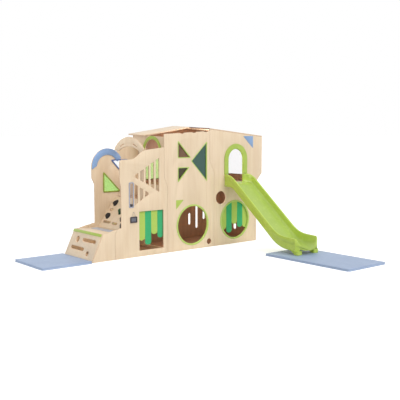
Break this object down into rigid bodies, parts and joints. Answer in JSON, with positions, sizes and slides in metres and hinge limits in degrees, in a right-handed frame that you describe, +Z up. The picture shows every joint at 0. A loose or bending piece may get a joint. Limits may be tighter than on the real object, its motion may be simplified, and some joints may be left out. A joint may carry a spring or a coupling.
{
  "type": "play castle with slide",
  "caption": "Timber play castle: a tower with round crawl holes, arched doors and a gabled roof, a moulded slide, a climber with a slotted ramp and holds, hanging strips and floor mats.",
  "frame": {"origin": "middle of the underside of the tower's floor board, on the ground", "axes": "+X runs along the front from the ramp towards the tower's right end, +Y away from the slide into the tower, +Z up"},
  "size_m": [4.0303, 3.556, 1.8978],
  "materials": {
    "birch_plywood": "satin lacquered light plywood with fine upright grain",
    "brown_laminate": "matte brown laminate",
    "lime_plastic": "satin moulded polyethylene",
    "pale_lime_trim": "satin plastic trim",
    "light_strip": "matte felt strip",
    "emerald_strip": "matte felt strip",
    "blue_laminate": "matte blue laminate",
    "mat_vinyl": "matte vinyl over foam",
    "teal_acrylic": "tinted acrylic",
    "lime_acrylic": "tinted acrylic",
    "clear_acrylic": "clear acrylic",
    "bronze_acrylic": "tinted acrylic",
    "olive_acrylic": "tinted acrylic",
    "stone_hold": "cast resin with a stone texture",
    "green_hold": "cast resin with a stone texture",
    "rail_wood": "satin lacquered batten",
    "steel": "brushed",
    "dark_frame": "matte dark plastic",
    "slate": "matte grey writing surface"
  },
  "bodies": {
    "castle": {"back_panel": "birch_plywood", "back_window_pane": "lime_acrylic", "blue_arch_band": "blue_laminate", "blue_window_pane": "clear_acrylic", "climber_batten": "birch_plywood", "climber_deck": "brown_laminate", "climber_far_panel": "birch_plywood", "climber_floor": "brown_laminate", "climber_near_panel": "birch_plywood", "climbing_hold_1": "stone_hold", "climbing_hold_2": "stone_hold", "climbing_hold_3": "stone_hold", "climbing_hold_4": "stone_hold", "climbing_hold_5": "green_hold", "climbing_wall": "birch_plywood", "deck_batten_left": "birch_plywood", "deck_batten_right": "birch_plywood", "door_strip_rail": "rail_wood", "green_window_pane": "lime_acrylic", "left_door_band": "lime_plastic", "low_side_far": "birch_plywood", "low_side_near": "birch_plywood", "platform_board": "birch_plywood", "platform_riser": "birch_plywood", "portal_arch": "birch_plywood", "porthole_rim_left": "pale_lime_trim", "porthole_rim_right": "pale_lime_trim", "porthole_strip_rail": "rail_wood", "ramp_mat": "mat_vinyl", "ramp_nosing": "lime_plastic", "ramp_panel": "birch_plywood", "roof_left_board": "birch_plywood", "roof_right_board": "birch_plywood", "side_window_pane": "clear_acrylic", "slate_peg": "steel", "slide": "lime_plastic", "slide_door_band": "lime_plastic", "slide_mat": "mat_vinyl", "slide_panel": "birch_plywood", "slider_rod": "steel", "tower_deck": "brown_laminate", "tower_floor": "brown_laminate", "tower_left_wall": "birch_plywood", "tower_right_wall": "birch_plywood", "window_pane_lower": "olive_acrylic", "window_pane_right": "teal_acrylic", "window_pane_upper": "bronze_acrylic", "window_panel": "birch_plywood"},
    "door_strip_1": {"door_strip_1": "light_strip"},
    "door_strip_2": {"door_strip_2": "emerald_strip"},
    "door_strip_3": {"door_strip_3": "light_strip"},
    "door_strip_4": {"door_strip_4": "emerald_strip"},
    "porthole_strip_1": {"porthole_strip_1": "light_strip"},
    "porthole_strip_2": {"porthole_strip_2": "emerald_strip"},
    "porthole_strip_3": {"porthole_strip_3": "light_strip"},
    "porthole_strip_4": {"porthole_strip_4": "emerald_strip"},
    "porthole_strip_5": {"porthole_strip_5": "light_strip"},
    "slider_bead": {"slider_bead": "stone_hold"},
    "slate": {"slate_frame": "dark_frame", "slate_board": "slate"}
  },
  "joints": [
    {"name": "door_strip_1_swing", "type": "hinge", "parent": "castle", "child": "door_strip_1", "pos_m": [-1.37437, -0.4242, 0.66], "axis": [1, 0, 0], "range_deg": [0, 75]},
    {"name": "door_strip_2_swing", "type": "hinge", "parent": "castle", "child": "door_strip_2", "pos_m": [-1.26313, -0.4242, 0.66], "axis": [1, 0, 0], "range_deg": [0, 75]},
    {"name": "door_strip_3_swing", "type": "hinge", "parent": "castle", "child": "door_strip_3", "pos_m": [-1.15187, -0.4242, 0.66], "axis": [1, 0, 0], "range_deg": [0, 75]},
    {"name": "door_strip_4_swing", "type": "hinge", "parent": "castle", "child": "door_strip_4", "pos_m": [-1.04062, -0.4242, 0.66], "axis": [1, 0, 0], "range_deg": [0, 75]},
    {"name": "porthole_strip_1_swing", "type": "hinge", "parent": "castle", "child": "porthole_strip_1", "pos_m": [0.213, -0.4242, 0.64], "axis": [1, 0, 0], "range_deg": [0, 75]},
    {"name": "porthole_strip_2_swing", "type": "hinge", "parent": "castle", "child": "porthole_strip_2", "pos_m": [0.331, -0.4242, 0.695], "axis": [1, 0, 0], "range_deg": [0, 75]},
    {"name": "porthole_strip_3_swing", "type": "hinge", "parent": "castle", "child": "porthole_strip_3", "pos_m": [0.449, -0.4242, 0.695], "axis": [1, 0, 0], "range_deg": [0, 75]},
    {"name": "porthole_strip_4_swing", "type": "hinge", "parent": "castle", "child": "porthole_strip_4", "pos_m": [0.567, -0.4242, 0.695], "axis": [1, 0, 0], "range_deg": [0, 75]},
    {"name": "porthole_strip_5_swing", "type": "hinge", "parent": "castle", "child": "porthole_strip_5", "pos_m": [0.685, -0.4242, 0.64], "axis": [1, 0, 0], "range_deg": [0, 75]},
    {"name": "slider_bead_slide", "type": "slide", "parent": "castle", "child": "slider_bead", "axis": [0, 0, 1], "range_m": [0, 0.294]},
    {"name": "slate_swing", "type": "hinge", "parent": "castle", "child": "slate", "pos_m": [-1.536, -0.458, 0.65], "axis": [0, 1, 0], "range_deg": [-20, 20]}
  ]
}
